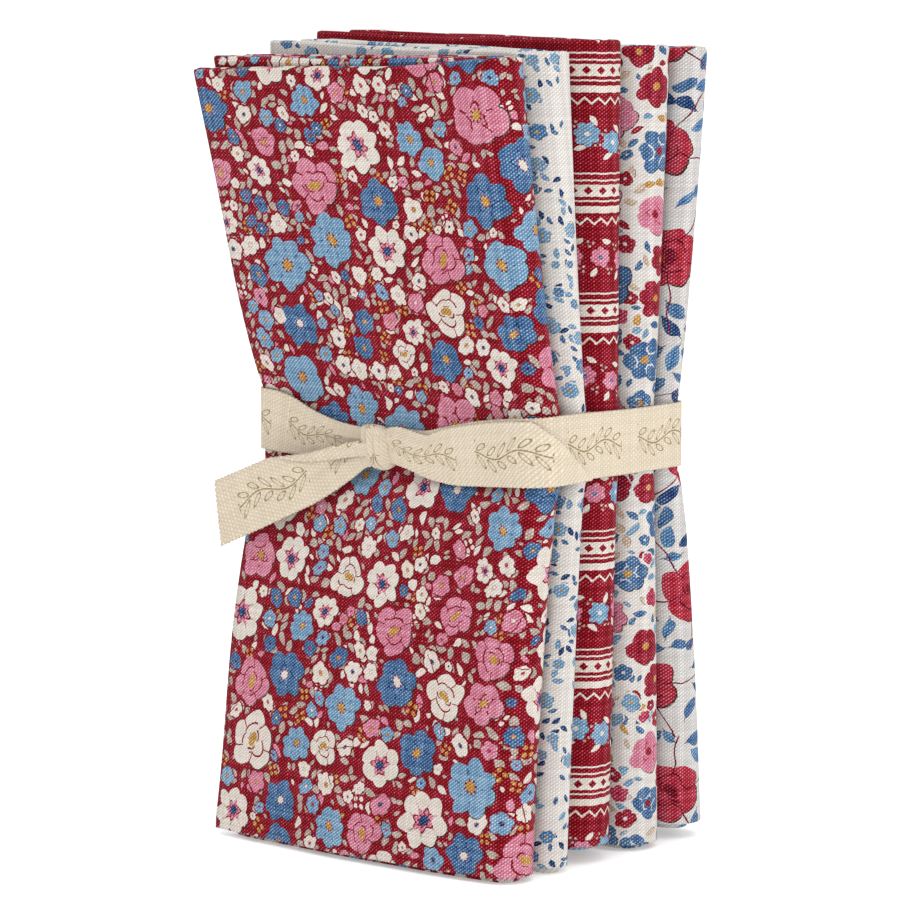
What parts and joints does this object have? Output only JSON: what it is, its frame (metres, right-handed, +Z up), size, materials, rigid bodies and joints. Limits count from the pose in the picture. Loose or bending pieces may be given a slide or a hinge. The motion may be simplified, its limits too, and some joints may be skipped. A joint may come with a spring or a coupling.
{
  "type": "fat quarter bundle",
  "caption": "Stack of folded printed cotton fabrics stood on edge, squeezed at the waist and tied with flat cotton tape",
  "frame": {"origin": "middle of the outline, on the surface the bundle stands on", "axes": "+Z up, along the bundle's longest side; the front of the stack faces -Y and the folded spines face +X"},
  "size_m": [0.096, 0.0848, 0.1925],
  "materials": {
    "red_floral_cotton": "matte printed plain-weave cotton, crimson with an all-over flower print",
    "cream_sprig_cotton": "matte printed plain-weave cotton, cream with small blue sprigs",
    "red_border_cotton": "matte printed plain-weave cotton, crimson with cream bands, dots and flower rows",
    "mixed_floral_cotton": "matte printed plain-weave cotton, white with flowers in red, pink, blue and beige",
    "rose_leaf_cotton": "matte printed plain-weave cotton, white with blue leaves and red flowers",
    "cotton_tape": "matte natural cotton tape, unbleached"
  },
  "bodies": {
    "root": {"fabric_1_red_floral": "red_floral_cotton", "fabric_2_cream_sprig": "cream_sprig_cotton", "fabric_3_red_border": "red_border_cotton", "fabric_4_mixed_floral": "mixed_floral_cotton", "fabric_5_rose_leaf": "rose_leaf_cotton", "tie_tape": "cotton_tape"}
  },
  "joints": []
}
